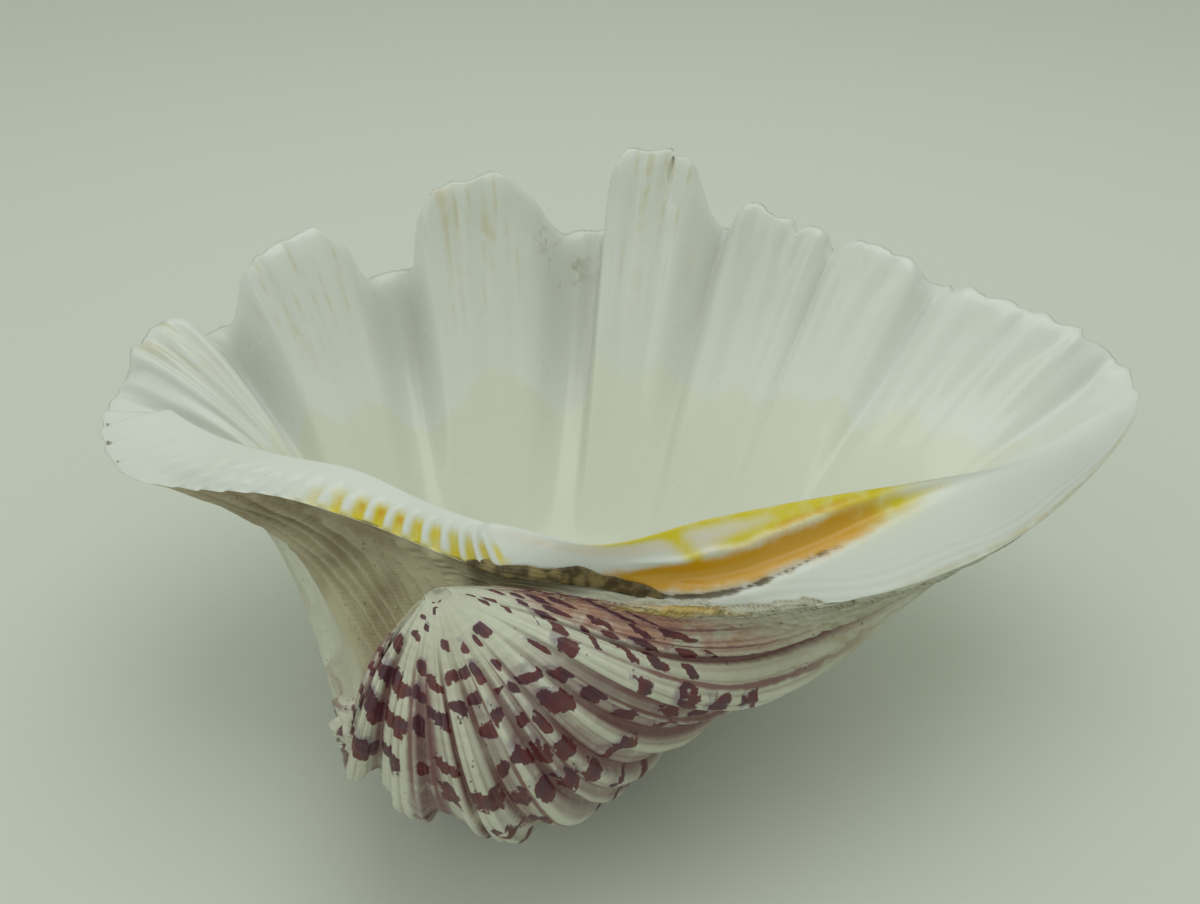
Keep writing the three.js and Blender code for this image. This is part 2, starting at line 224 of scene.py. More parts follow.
def past_hinge(around):
    """Places as the crest table counts them, where the lip follows on from the hinge."""
    return np.where(around < 0.5, around + 1, around)


def hinge_point(around, inward):
    place = np.where(around < 0.365, around + 1, around)
    crest = along(CREST, np.clip(place, CREST[0, 0], CREST[-1, 0]))
    rise = np.clip(inward, 0, 1)[..., None]
    band = grown(around, np.ones_like(around), np.ones_like(around)) * (1 - rise) + crest * rise
    band = band + LIP_BULGE * np.sin(math.pi * rise) * (0, 0, 1)
    near_plate = np.exp(-(((crest[..., :1] - 30) / 60) ** 2))
    handle = crest + (BOWL_BOTTOM - crest) * (0.3 - 0.2 * near_plate) + near_plate * (0, -8, -45)
    floor = floor_point(crest, handle, 0.22 + 0.33 * near_plate, 2 - np.clip(inward, 1, 2))
    return np.where((inward <= 1)[..., None], band, floor)


def hinge_share(around):
    place = past_hinge(around)
    return ease(0.70, 0.745, place) * (1 - ease(1.19, 1.225, place))


def inner_point(around, inward):
    share = hinge_share(around)[..., None]
    return ribbed_point(around, inward) * (1 - share) + hinge_point(around, inward) * share


print("crest rows:", len(CREST))

# %% [markdown]
# ## From a sheet to a valve
# A closed shell with one beak and one bowl bottom can be wrapped in a single net: rings that start
# at the beak, run out to the margin, turn over it and close again at the bottom of the bowl. A flat
# grid has the same rows and columns. Its first and last row are drawn together to a point each, its
# two sides meet, and Merge by Distance sews them up. A UV sphere would do too, but a grid this fine
# is added much faster.

# %% Add the sheet and read its net
COLUMNS = 560
OUTER_RINGS, INNER_RINGS = 104, 70


def clear_selection():
    if bpy.context.object and bpy.context.object.mode != "OBJECT":
        bpy.ops.object.mode_set(mode="OBJECT")
    bpy.ops.object.select_all(action="DESELECT")


clear_selection()
RINGS = OUTER_RINGS + INNER_RINGS + 1
bpy.ops.mesh.primitive_grid_add(x_subdivisions=COLUMNS, y_subdivisions=RINGS, size=2)
valve = bpy.context.object
valve.name = "clam_valve"
mesh = valve.data
sheet = np.empty(len(mesh.vertices) * 3)
mesh.vertices.foreach_get("co", sheet)
sheet = (sheet.reshape(-1, 3) + 1) / 2
column = np.rint(sheet[:, 0] * COLUMNS).astype(int) % COLUMNS
ring = np.rint(sheet[:, 1] * RINGS).astype(int)
print("sheet:", len(mesh.vertices), "vertices,", len(mesh.polygons), "faces")

# %% [markdown]
# ## Relief
# A worn giant clam is not smooth. Fine riblets run down every fold, growth halts cross them, the
# strongest rib carries worn scales, and the margin is chipped. On the hollow side the tongues have
# two or three low ridges, the lip has cross teeth, and the hinge plate has its groove and ridge.
# All of it is height along the surface's own normal, so it is real shape in the mesh.

# %% Rings in shell terms
outer_sizes = np.interp(np.arange(OUTER_RINGS), [0, 10, 62, OUTER_RINGS - 1], [0.03, 0.10, 0.45, 1.0])
inner_steps = np.concatenate([[0.010, 0.022, 0.04, 0.065], np.linspace(0.09, 1.0, INNER_RINGS - 30),
                              np.linspace(1.03, 1.95, 26)])
# More columns on the lip, where the teeth are, and fewer along the smooth hinge.
places = np.interp(np.arange(COLUMNS), [0, 116, 166, 366, 480, 560], [0, 0.10, 0.20, 0.50, 0.75, 1.0])
U, S = np.meshgrid(places, outer_sizes)
UI, Q = np.meshgrid(places, inner_steps)
AGE = np.log(1 / S)
noise_table = np.random.default_rng(7).uniform(0, 2 * math.pi, (24, 3))


def waves(a, b, scale, first=0):
    """Soft irregular field between about -1 and 1, from a few crossed waves."""
    total = np.zeros_like(a + b)
    for n in range(6):
        turn, phase, mixed = noise_table[first + n]
        total += np.sin(a * scale * (1 + 0.37 * n) * math.cos(mixed) * 2
                        + b * scale * (1.3 + 0.29 * n) * math.sin(turn) + phase)
    return total / 3.2


def normals_of(points):
    across = np.roll(points, -1, 1) - np.roll(points, 1, 1)
    down = np.gradient(points, axis=0)
    return unit(np.cross(down, across))


# %% [markdown]
# Riblets are cosines round the shell, furrows and halts are narrow dips, and worn scales are small
# bumps. Every height is a share of the size the shell had there, so old parts are finer than late
# ones. Multiresolution sculpting gives freer forms, but it can't be changed by one number.

# %% Height of the outside
ribbed = ease(0.185, 0.205, U) * (1 - ease(0.955, 0.985, U))
lunule = (1 - ease(0.175, 0.195, U)) * ease(0.004, 0.02, U)
fold = fold_at(U)
posterior = ease(0.60, 0.74, U) * (1 - ease(0.95, 0.99, U))
RIBLETS = 64
wobble = 0.0016 * waves(U * 6, AGE, 3.0)
riblet = np.cos(2 * math.pi * RIBLETS * (U + wobble))
thin_riblet = np.cos(2 * math.pi * RIBLETS * 2.5 * (U + wobble * 0.5))
# Furrows that split the ribs near the beak: place, half width, depth at full size in mm.
FURROWS = [(0.224, 0.0045, 7.0), (0.262, 0.0050, 9.0), (0.312, 0.0060, 9.0), (0.431, 0.0050, 7.0),
           (0.480, 0.0060, 6.0), (0.536, 0.0050, 5.0), (0.589, 0.0050, 5.0), (0.645, 0.0060, 6.0),
           (0.690, 0.0050, 6.0), (0.772, 0.0060, 5.0)]
furrow = np.zeros_like(U)
for furrow_at, half_wide, depth in FURROWS:
    furrow += depth * np.exp(-((U + wobble - furrow_at) / half_wide) ** 2)
furrow = furrow * (1 - ease(0.42, 0.75, S)) * ease(0.04, 0.12, S)
# Halts in growth: shallow grooves that cross the ribs at uneven ages.
HALTS, HALT_HALF_WIDTH = 36, 0.017
halts = np.zeros_like(U)
rng = np.random.default_rng(21)
for age in np.cumsum(rng.uniform(0.03, 0.12, HALTS)):
    drift = 0.02 * waves(U * 9, AGE * 0, 2.2, 3) + 0.012 * waves(U * 40, AGE * 0, 1.4, 8)
    depth = rng.uniform(0.25, 1.0)
    halts += depth * np.clip(1 - np.abs((AGE - age - drift) / HALT_HALF_WIDTH), 0, 1) ** 2
halt_strength = (0.16 + 1.35 * ease(0.34, 0.50, S)) * (1 + 0.5 * ease(0.78, 1.0, S) + 0.7 * posterior)
late = ease(0.45, 0.70, S)
riblet_height = (0.8 + 0.8 * late) * riblet + (0.28 + 0.3 * late) * thin_riblet
LUNULE_WRINKLES = 62
wrinkle = np.cos(2 * math.pi * LUNULE_WRINKLES * U + 2.5 * waves(U * 3, AGE, 2.0, 9))
wrinkle_height = (0.7 + 1.1 * ease(0.08, 0.11, U)) * wrinkle + 0.7 * waves(U * 60, AGE * 2, 1.3, 15)
unevenness = waves(U * 14, AGE * 5, 1.6, 12) + 0.35 * waves(U * 70, AGE * 22, 1.5, 2)
outer_height = S * (ribbed * (riblet_height * ease(0.03, 0.15, S) - furrow)
                    + lunule * wrinkle_height - halts * halt_strength + unevenness)
# Worn scales on the strongest rib: place, size, height in mm.
SCALES = [(0.205, 0.37, 4.5), (0.212, 0.42, 5.0), (0.206, 0.47, 4.0), (0.222, 0.39, 3.0),
          (0.232, 0.45, 3.0), (0.205, 0.54, 3.5), (0.243, 0.41, 2.2), (0.209, 0.62, 3.0),
          (0.208, 0.33, 3.0), (0.200, 0.40, 4.0)]
SCALE_WIDTH, SCALE_LENGTH = 0.0075, 0.014
for scale_at, scale_size, scale_height in SCALES:
    reach = ((U - scale_at) / SCALE_WIDTH) ** 2 + ((S - scale_size) / SCALE_LENGTH) ** 2
    outer_height += scale_height * np.exp(-reach)

# The relief dies out at the margin, most of all along the hinge and the lip, where both sides meet.
straight = 1 - ease(0.17, 0.21, U) * (1 - ease(0.73, 0.78, U))
outer_height = outer_height * (1 - (0.45 + 0.5 * straight) * ease(0.93, 1.0, S))

# %% [markdown]
# The hollow side has ridges on its tongues, cross teeth on the lip and a row of ridges on the wing
# beside the lip. Each fades to nothing where its part ends, so nothing stops with a step.

# %% Height of the hollow side
hinge_side = hinge_share(UI)
near_margin = (1 - ease(0.1, 0.8, Q)) * ease(0.0, 0.03, Q)
tongue_ridge = np.cos(2 * math.pi * RIBLETS * (UI + 0.0016 * waves(UI * 6, Q, 3.0)))
inner_height = (1 - hinge_side) * near_margin * (0.75 * tongue_ridge + 0.3 * waves(UI * 60, Q * 2, 2.0, 5))
place_in = past_hinge(UI)
lip = ease(1.0, 1.012, place_in) * (1 - ease(1.12, 1.19, place_in)) * (Q <= 1.15)
TEETH = 112
tooth = np.cos(2 * math.pi * TEETH * (place_in - 0.020 * Q) + 0.8 * waves(place_in * 30, Q, 1.0))
inner_height += lip * 0.8 * tooth * (1 - ease(0.25, 0.80, Q)) * ease(0.0, 0.05, Q)
WING_RIDGES = 95
wing = ease(1.10, 1.15, place_in) * (1 - ease(1.24, 1.27, place_in))
wing_ridge = np.cos(2 * math.pi * WING_RIDGES * place_in + 1.2 * Q)
inner_height += wing * 0.9 * wing_ridge * (1 - ease(0.3, 0.9, Q)) * ease(0.0, 0.05, Q)

# %% [markdown]
# The plate carries a groove, a ridge and a thin seam, which drift from its crest to its edge on the
# way to the beak. A table holds where each one is, and the same places later take the colours.

# %% Height of the hinge plate
# Across the plate, 0 at the edge and 1 at the crest: place, dark seam, groove, ridge, strength.
PLATE = np.array([
    (0.780, 0.92, 0.95, 1.00, 0.0), (0.820, 0.85, 0.90, 0.97, 0.2), (0.860, 0.62, 0.76, 0.88, 0.8),
    (0.890, 0.45, 0.60, 0.77, 1.0), (0.910, 0.32, 0.50, 0.68, 1.0), (0.930, 0.17, 0.38, 0.58, 1.0),
    (0.960, 0.04, 0.27, 0.50, 1.0), (0.990, 0.02, 0.20, 0.42, 0.8), (1.015, 0.02, 0.15, 0.35, 0.0),
])
plate = along(PLATE, np.clip(place_in, PLATE[0, 0], PLATE[-1, 0]))
seam, groove, ridge, strength = (plate[..., n] for n in range(4))
strength = strength * (Q <= 1.2)
wavy = 0.025 * np.sin(place_in * 250) * ease(0.90, 0.93, place_in)
closing = 1 - ease(0.945, 0.972, place_in)
GROOVE_DEPTH, RIDGE_HEIGHT, SEAM_DEPTH = 3.4, 1.2, 1.1


def hump(value, middle, half_width):
    return np.exp(-((value - middle) / half_width) ** 2)


inner_height += strength * closing * (RIDGE_HEIGHT * hump(Q, ridge + wavy, 0.05)
                                      - GROOVE_DEPTH * hump(Q, groove, 0.13)
                                      - SEAM_DEPTH * hump(Q, seam, 0.03) * ease(0.86, 0.9, place_in))
outer_plate = ease(0.72, 0.80, place_in) * (1 - ease(0.93, 0.97, place_in))
plate_halts = 0.14 * np.sin(Q * 75 + 6 * waves(place_in * 22, Q, 1.0))
inner_height += (1 - ease(0.05, 0.35, Q)) * outer_plate * plate_halts

# %% [markdown]
# The very edge is cut by moving it towards or away from the beak: chips on the folded side,
# scallops beside the wing, and small ones where the teeth of the lip reach it.

# %% Chips and scallops along the margin
chips = (0.9 * waves(places * 55, places * 0, 2.0, 4) + 0.9 * np.cos(2 * math.pi * RIBLETS * places)
         + 0.6 * waves(places * 160, places * 0, 2.0, 14))
folded_side = ease(0.20, 0.23, places) * (1 - ease(0.72, 0.76, places))
near_wing = ease(0.08, 0.13, places) * (1 - ease(0.2, 0.24, places))
scallops = 1.3 * np.cos(2 * math.pi * WING_RIDGES * places) * near_wing
on_lip = ease(0.0, 0.012, places) * (1 - ease(0.10, 0.13, places))
lip_scallops = 0.30 * np.cos(2 * math.pi * TEETH * places) * on_lip
# Heights in mm become a share of the distance from the beak, which is shorter along the lip.
MARGIN_REACH, LIP_REACH, LIP_END = 190, 95, 0.14
margin_reach = np.where(places < LIP_END, LIP_REACH, MARGIN_REACH)
margin_shift = (chips * folded_side + scallops + lip_scallops) / margin_reach
print("largest shift of the margin:", round(float(np.abs(margin_shift).max()), 4))

# %% [markdown]
# Now the places, the heights and the margin come together. The outside is held above the level
# it rests on, the net is centred on the frame's box, and all vertices are written at once.

# %% Move the rings into place
outer = outer_point(U, S) * (1 + margin_shift * ease(0.965, 1.0, S))[..., None]
inner = inner_point(UI, Q) * (1 + margin_shift * (1 - ease(0.0, 0.22, Q)))[..., None]
# The floor of the bowl is softened sideways, so that its two halves meet without a crease.
SOFTENING_REACH, SOFTENING_ROUNDS = 9, 3
softened = inner
for _ in range(SOFTENING_ROUNDS):
    shifts = range(-SOFTENING_REACH, SOFTENING_REACH + 1)
    softened = np.mean([np.roll(softened, shift, 1) for shift in shifts], 0)
inner = inner + (softened - inner) * ease(0.95, 1.35, Q)[..., None]
outer_normal, inner_normal = normals_of(outer), normals_of(inner)
before_edge = 1 - ease(0.985, 1.0, S)
outer = outer + outer_normal * (outer_height * before_edge)[..., None]
inner = inner + inner_normal * inner_height[..., None]
outer[..., 2] = np.maximum(outer[..., 2], REST_LEVEL)
tip = np.tile([-BEAK_LEAN, 0.0, 0.0], (COLUMNS, 1))
grid = np.concatenate([[tip], outer, inner, [np.tile(BOWL_BOTTOM, (COLUMNS, 1))]])
final = grid[ring, column] * MM
low, high = final.min(0), final.max(0)
middle = [(low[n] + high[n] - cad_low[n] - cad_high[n]) / 2 for n in range(2)]
place_of_beak = -np.array([middle[0], middle[1], low[2] - cad_low[2]])
final = final + place_of_beak
mesh.vertices.foreach_set("co", final.ravel())
mesh.update()
print("beak at mm:", [round(v / MM, 1) for v in place_of_beak])

# %% [markdown]
# ## Where the colours lie
# The speckles of a bear-paw clam are laid down at the margin while the rib grows, so they sit in
# columns on the ribs and in rough rows that follow old margins. The mesh therefore carries two smooth
# numbers, which column a place is in and which row of growth, and the material draws the speckles
# from them with crisp, ragged edges. Painting by hand would work too, but this ties each patch to
# its rib.

# %% Where speckles can be
# The furrows and hollows part the speckles into columns, and `rib` counts these columns.
RIB_EDGES = [0.185, 0.204, 0.224, 0.262, 0.312, 0.369, 0.394, 0.431, 0.480, 0.508, 0.536,
             0.562, 0.589, 0.645, 0.672, 0.690, 0.737, 0.772, 0.795, 0.828, 0.872, 0.960]
rib = np.interp(U + wobble, RIB_EDGES, np.arange(len(RIB_EDGES)))
coloured = ribbed * (1 - ease(0.93, 0.965, U)) * ease(0.185, 0.200, U)
# Share of the places in the pattern that hold a speckle: few near the beak and few on late growth.
share = 0.84 - 0.60 * (1 - ease(0.06, 0.16, S)) - 0.30 * ease(0.60, 0.80, S) - 0.1 * ease(0.75, 0.92, S)
share -= 0.66 * ease(0.36, 0.46, S) * ease(0.46, 0.56, U)
share -= 0.9 * ease(0.42, 0.50, S) * (1 - ease(0.225, 0.25, U))
share -= 0.45 * ease(0.60, 0.68, U) * ease(0.33, 0.38, S)
share -= 0.3 * ease(0.77, 0.80, U) * ease(0.34, 0.44, S)
# Rows stand evenly along the shell, but closer together near the beak.
ROWS_PER_SIZE, ROWS_PER_AGE = 15.5, 1.3
growth_rows = ROWS_PER_SIZE * S - ROWS_PER_AGE * AGE
print("columns of speckles:", len(RIB_EDGES) - 1)

# %% [markdown]
# Colour also follows the shape where there are no speckles. Each stain is a mask from 0 to 1,
# kept smooth here. The material breaks its edge up with noise.

# %% Stains of the outside
# Wide hollows between the ribs are stained, and so are the furrows; the hinge band is pink-brown.
wide_hollow = hump(U, 0.385, 0.014) + 0.7 * hump(U, 0.3965, 0.010)
wide_hollow += 0.55 * fold * ease(0.46, 0.50, U) * (1 - ease(0.70, 0.74, U))
wide_hollow = np.clip(wide_hollow, 0, 1) * ease(0.10, 0.17, S) * (1 - ease(0.46, 0.62, S)) * ribbed
between = np.clip(wide_hollow * 1.25, 0, 1)
FULLY_STAINED_DEPTH = 3.5
seam_lines = np.clip(furrow / FULLY_STAINED_DEPTH, 0, 1) * ease(0.09, 0.16, S) * ribbed
thin_lines = 0.5 * np.clip(-riblet, 0, 1) ** 4 * ribbed * (1 - ease(0.4, 0.6, S)) * ease(0.12, 0.2, S)
seam_lines = np.maximum(seam_lines, thin_lines)
hinge_band = ease(0.775, 0.795, U) * (1 - ease(0.935, 0.96, U))
hinge_band = hinge_band * ease(0.10, 0.20, S) * (1 - ease(0.38, 0.54, S))
ochre = posterior * ease(0.40, 0.60, S) * (1 - 0.5 * ease(0.80, 1.0, S))
ochre = ochre * np.clip(0.20 + 1.2 * halts + 0.3 * waves(U * 8, AGE * 30, 1.5, 2), 0, 1)
amber = ease(0.86, 0.90, U) * (1 - ease(0.94, 0.965, U)) * ease(0.42, 0.56, S) * (1 - ease(0.62, 0.80, S))
# Horny skin left on the hinge in front of the beak, and dirt under the edge of the lip.
skin = np.maximum(ease(0.970, 0.988, U), 1 - ease(0.010, 0.028, U)) * ease(0.30, 0.5, S)
under_lip = (1 - ease(0.10, 0.16, U)) * ease(0.70, 0.96, S) * (0.6 + 0.4 * waves(U * 30, AGE * 9, 1.6, 7))
beside_beak = (1 - ease(0.07, 0.13, U)) * (1 - ease(0.35, 0.7, S)) * ease(0.03, 0.10, S)
grime = np.clip(np.maximum(under_lip, 0.8 * beside_beak), 0, 1) * lunule
print("share of the outside with a stained furrow:", round(float((seam_lines > 0.5).mean()), 3))

# %% [markdown]
# The hollow side has masks too: streaks down the tongues, dots in a trough, the warmer tint of the
# bowl, and yellow in the pockets between the teeth.

# %% Colours of the lip and the tongues
streaks = hump(waves(UI * 95 + 3, Q * 1.2, 1.9, 8), 0, 0.16)
stained_folds = fold_at(UI) * ease(0.22, 0.25, UI) * (1 - ease(0.50, 0.54, UI))
tip_stain = stained_folds * (1 - ease(0.10, 0.55, Q)) * streaks
trough_dots = hump(UI, 0.432, 0.012) * hump(Q, 0.12, 0.07)
wall_tint = ease(0.57, 0.605, Q + 0.05 * waves(UI * 26, UI * 9, 1.5, 6))
bowl_tint = wall_tint * (1 - hinge_side) + ease(1.02, 1.25, Q) * hinge_side
pockets = np.clip(0.55 - 0.90 * tooth + 0.25 * waves(place_in * 40, Q * 3, 1.5, 4), 0, 1)
pockets = np.maximum(pockets, 0.75 * (1 - ease(0.02, 0.16, Q)))
yellow_part = ease(0.996, 1.004, place_in) * (1 - ease(1.072, 1.100, place_in))
teeth_yellow = yellow_part * (1 - ease(0.30, 0.62, Q)) * pockets
teeth_orange = teeth_yellow * hump(Q, 0.30, 0.16) * np.clip(-tooth, 0, 1) * ease(1.03, 1.06, place_in)
print("share of the hollow side that is yellow:", round(float((teeth_yellow > 0.5).mean()), 3))

# %% [markdown]
# These masks use the plate's own table, so the orange lies in the groove and the yellow on the rim.

# %% Colours of the hinge plate
plate_end = ease(0.838, 0.884, place_in) * (1 - ease(0.955, 0.985, place_in))
groove_orange = strength * hump(Q, groove, 0.17) * plate_end + 0.55 * teeth_orange
above_ridge = 0.5 * strength * hump(Q, ridge + 0.07, 0.05) * plate_end * (1 - ease(0.90, 0.92, place_in))
groove_orange = np.maximum(groove_orange, above_ridge)
end_yellow = strength * hump(Q, groove, 0.16)
end_yellow *= ease(0.832, 0.852, place_in) * (1 - ease(0.87, 0.90, place_in))
thin_streak = hump(Q, groove, 0.05) * ease(0.815, 0.845, place_in) * (1 - ease(0.86, 0.88, place_in))
rim_yellow = strength * hump(Q, 0.97, 0.10)
rim_yellow *= ease(0.845, 0.875, place_in) * (1 - ease(0.965, 0.985, place_in))
upper_yellow = strength * hump(Q, ridge + 0.10, 0.09) * (1 - ease(0.925, 0.945, place_in))
slanting = 0.944 + 0.020 * (Q - 0.5)
upper_yellow += strength * hump(place_in, slanting, 0.0035) * ease(0.25, 0.4, Q)
plate_yellow = rim_yellow + upper_yellow + 0.6 * thin_streak + end_yellow
plate_pink = strength * hump(Q, 0.76, 0.14) * ease(0.90, 0.925, place_in)
seam_dark = (strength + 0.6 * ease(0.985, 1.0, place_in)) * hump(Q, seam, 0.036) * (Q < 1.1)
seam_dark = seam_dark * ease(0.865, 0.90, place_in) * (1 - ease(1.06, 1.09, place_in))
edge_brown = (1 - ease(0.03, 0.09, Q)) * ease(0.735, 0.77, place_in) * (1 - ease(0.85, 0.88, place_in))
print("share of the hollow side that is orange:", round(float((groove_orange > 0.5).mean()), 3))


# %% [markdown]
# Masks travel to the materials as attributes: one number per vertex, which an Attribute node reads
# by its name. Vertex colours would work as well, but a mask per name says what it is for.

# %% Numbers for the materials
def store(name, outside, inside, beak=0.0, bottom=0.0):
    """Writes one number per vertex, read by the materials."""
    rows = np.concatenate([[np.full(COLUMNS, beak)], outside, inside, [np.full(COLUMNS, bottom)]])
    attribute = mesh.attributes.new(name, "FLOAT", "POINT")
    attribute.data.foreach_set("value", rows[ring, column].astype(np.float32))


none_out, none_in = np.zeros_like(U), np.zeros_like(UI)
store("rib", rib, none_in)
store("share", share, none_in)
store("coloured", coloured, none_in)
store("between", between, none_in)
store("band", np.clip(hinge_band, 0, 1), none_in)
store("seam_lines", seam_lines, none_in)
store("lunule", lunule * (S > 0.05), none_in)
store("ochre", np.clip(ochre, 0, 1), none_in)
store("rows", growth_rows, none_in)
store("size", S, none_in)
store("amber", amber, none_in)
store("skin", skin, none_in)
store("grime", grime, none_in)
store("yellow", none_out, np.clip(teeth_yellow + plate_yellow, 0, 1))
store("orange", none_out, np.clip(groove_orange, 0, 1))
store("pink", none_out, np.clip(plate_pink, 0, 1))
store("dark", none_out, np.clip(seam_dark + 0.15 * edge_brown, 0, 1))
store("stain", none_out, np.clip(tip_stain + 1.2 * edge_brown, 0, 1))
store("dots", none_out, 0.6 * trough_dots)
store("bowl", none_out, bowl_tint, 0.0, 1.0)
print("attributes:", [a.name for a in mesh.attributes if a.data_type == "FLOAT"])

# %% [markdown]
# Faces beyond the margin get the inside material. Then the doubles at the beak, at the seam and at
# the bottom of the bowl are merged, the CAD valve it replaces is hidden, and the piece is attached to the
# root body.

# %% Two sides, two materials
outer_side = bpy.data.materials.new("shell_outside")
inner_side = bpy.data.materials.new("shell_inside")
mesh.materials.append(outer_side)
mesh.materials.append(inner_side)
corners = np.empty(len(mesh.loops), dtype=np.int32)
mesh.loops.foreach_get("vertex_index", corners)
last_ring = ring[corners].reshape(-1, 4).max(1)
mesh.polygons.foreach_set("material_index", (last_ring > OUTER_RINGS).astype(np.int32))
clear_selection()
valve.select_set(True)
bpy.context.view_layer.objects.active = valve
bpy.ops.object.mode_set(mode="EDIT")
bpy.ops.mesh.select_all(action="SELECT")
bpy.ops.mesh.remove_doubles(threshold=0.000001)
bpy.ops.mesh.normals_make_consistent(inside=False)
bpy.ops.object.mode_set(mode="OBJECT")
bpy.ops.object.shade_smooth()
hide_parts("valve")
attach(valve, "root")
print("valve triangles:", sum(len(p.vertices) - 2 for p in mesh.polygons))

# %% [markdown]
# ## Finishes
# Both sides of the shell share two effects, so each is a node group: fine growth lines, which are
# height only, and specks of dirt. The inside is dense porcelain with a clear gloss, the outside is
# chalkier. Colours that lie in set places come from the numbers stored on the mesh.

# %% Node helpers
NOISE_ROUGHNESS = 0.55


def add_node(tree, kind, place=(0, 0), **settings):
    node = tree.nodes.new(kind)
    node.location = place
    for key, value in settings.items():
        setattr(node, key, value)
    return node


def group_of(name, inputs, outputs):
    """Empty node group with named sockets."""
    group = bpy.data.node_groups.new(name, "ShaderNodeTree")
    for label, kind, default in inputs:
        socket = group.interface.new_socket(label, in_out="INPUT", socket_type=kind)
        socket.default_value = default
    for label, kind in outputs:
        group.interface.new_socket(label, in_out="OUTPUT", socket_type=kind)
    return group, add_node(group, "NodeGroupInput", (-900, 0)), add_node(group, "NodeGroupOutput", (700, 0))


def maths(tree, operation, a, b=None, c=None):
    node = add_node(tree, "ShaderNodeMath", operation=operation)
    for socket, value in zip(node.inputs, (a, b, c)):
        if value is None:
            continue
        if isinstance(value, (int, float)):
            socket.default_value = value
        else:
            tree.links.new(value, socket)
    return node.outputs[0]


def times(tree, a, b):
    return maths(tree, "MULTIPLY", a, b)


def number(tree, name):
    return add_node(tree, "ShaderNodeAttribute", (-1100, 0), attribute_name=name).outputs["Fac"]


def noise(tree, scale, detail):
    """Noise fixed to the piece, through its Object coordinates; the scale is in cells per metre."""
    node = add_node(tree, "ShaderNodeTexNoise", (-900, -300))
    node.inputs["Scale"].default_value = scale
    node.inputs["Detail"].default_value = detail
    node.inputs["Roughness"].default_value = NOISE_ROUGHNESS
    coordinates = add_node(tree, "ShaderNodeTexCoord", (-1200, -300)).outputs["Object"]
    tree.links.new(coordinates, node.inputs["Vector"])
    return node.outputs["Fac"]


def band(tree, value, low, high):
    """0 below low, 1 above high, soft between."""
    node = add_node(tree, "ShaderNodeMapRange", interpolation_type="SMOOTHSTEP")
    tree.links.new(value, node.inputs["Value"])
    node.inputs["From Min"].default_value = low
    node.inputs["From Max"].default_value = high
    return node.outputs["Result"]


def blend(tree, amount, below, above):
    """Colour below, covered by colour above as far as amount says."""
    node = add_node(tree, "ShaderNodeMix", data_type="RGBA")
    node.clamp_factor = True
    tree.links.new(amount, node.inputs["Factor"])
    for socket, value in ((node.inputs[6], below), (node.inputs[7], above)):
        if isinstance(value, tuple):
            socket.default_value = (*value, 1)
        else:
            tree.links.new(value, socket)
    return node.outputs[2]


# %% [markdown]
# A node group is built once, with named inputs, and each material places it with its own values.

# %% Shared effects
def make_growth_lines():
    group, start, end = group_of(
        "growth lines",
        [("Growth", "NodeSocketFloat", 0.0), ("Lines", "NodeSocketFloat", 160.0),
         ("Raggedness", "NodeSocketFloat", 0.6)],
        [("Height", "NodeSocketFloat")])
    ragged = times(group, noise(group, 45.0, 3.0), start.outputs["Raggedness"])
    angle = maths(group, "MULTIPLY_ADD", start.outputs["Growth"], start.outputs["Lines"],
                  times(group, ragged, 9.0))
    line = maths(group, "SINE", angle)
    grain = noise(group, 420.0, 2.0)
    height = maths(group, "MULTIPLY_ADD", line, 0.5, grain)
    group.links.new(height, end.inputs["Height"])
    return group


def make_dirt():
    group, start, end = group_of(
        "specks of dirt",
        [("Spread", "NodeSocketFloat", 0.5), ("Speck Size", "NodeSocketFloat", 300.0)],
        [("Amount", "NodeSocketFloat")])
    cells = add_node(group, "ShaderNodeTexVoronoi", (-600, 0))
    coordinates = add_node(group, "ShaderNodeTexCoord", (-1200, 0)).outputs["Object"]
    group.links.new(coordinates, cells.inputs["Vector"])
    group.links.new(start.outputs["Speck Size"], cells.inputs["Scale"])
    speck = maths(group, "SUBTRACT", 1.0, band(group, cells.outputs["Distance"], 0.05, 0.17))
    patchy = band(group, maths(group, "ADD", noise(group, 38.0, 4.0), start.outputs["Spread"]), 1.02, 1.12)
    group.links.new(times(group, speck, patchy), end.inputs["Amount"])
    return group


growth_lines, dirt = make_growth_lines(), make_dirt()
print("groups:", growth_lines.name, dirt.name)


def use_group(tree, group, **values):
    node = add_node(tree, "ShaderNodeGroup", (-500, -500), node_tree=group)
    for key, value in values.items():
        socket = node.inputs[key.replace("_", " ")]
        if isinstance(value, (int, float)):
            socket.default_value = value
        else:
            tree.links.new(value, socket)
    return node


def finish_shader(tree, colour, roughness, height, bump_strength, bump_distance):
    shader = next(n for n in tree.nodes if n.type == "BSDF_PRINCIPLED")
    tree.links.new(colour, shader.inputs["Base Color"])
    if isinstance(roughness, (int, float)):
        shader.inputs["Roughness"].default_value = roughness
    else:
        tree.links.new(roughness, shader.inputs["Roughness"])
    bump = add_node(tree, "ShaderNodeBump", (200, -400))
    bump.inputs["Strength"].default_value = bump_strength
    bump.inputs["Distance"].default_value = bump_distance
    tree.links.new(height, bump.inputs["Height"])
    tree.links.new(bump.outputs["Normal"], shader.inputs["Normal"])
    return shader


# %% [markdown]
# ## Outside
# Chalk white under the speckles, each speckle dark wine red with a violet haze about it, brown-purple
# in the hollows between the folds, and a grey-brown skin on the smooth hollow in front of the beak.

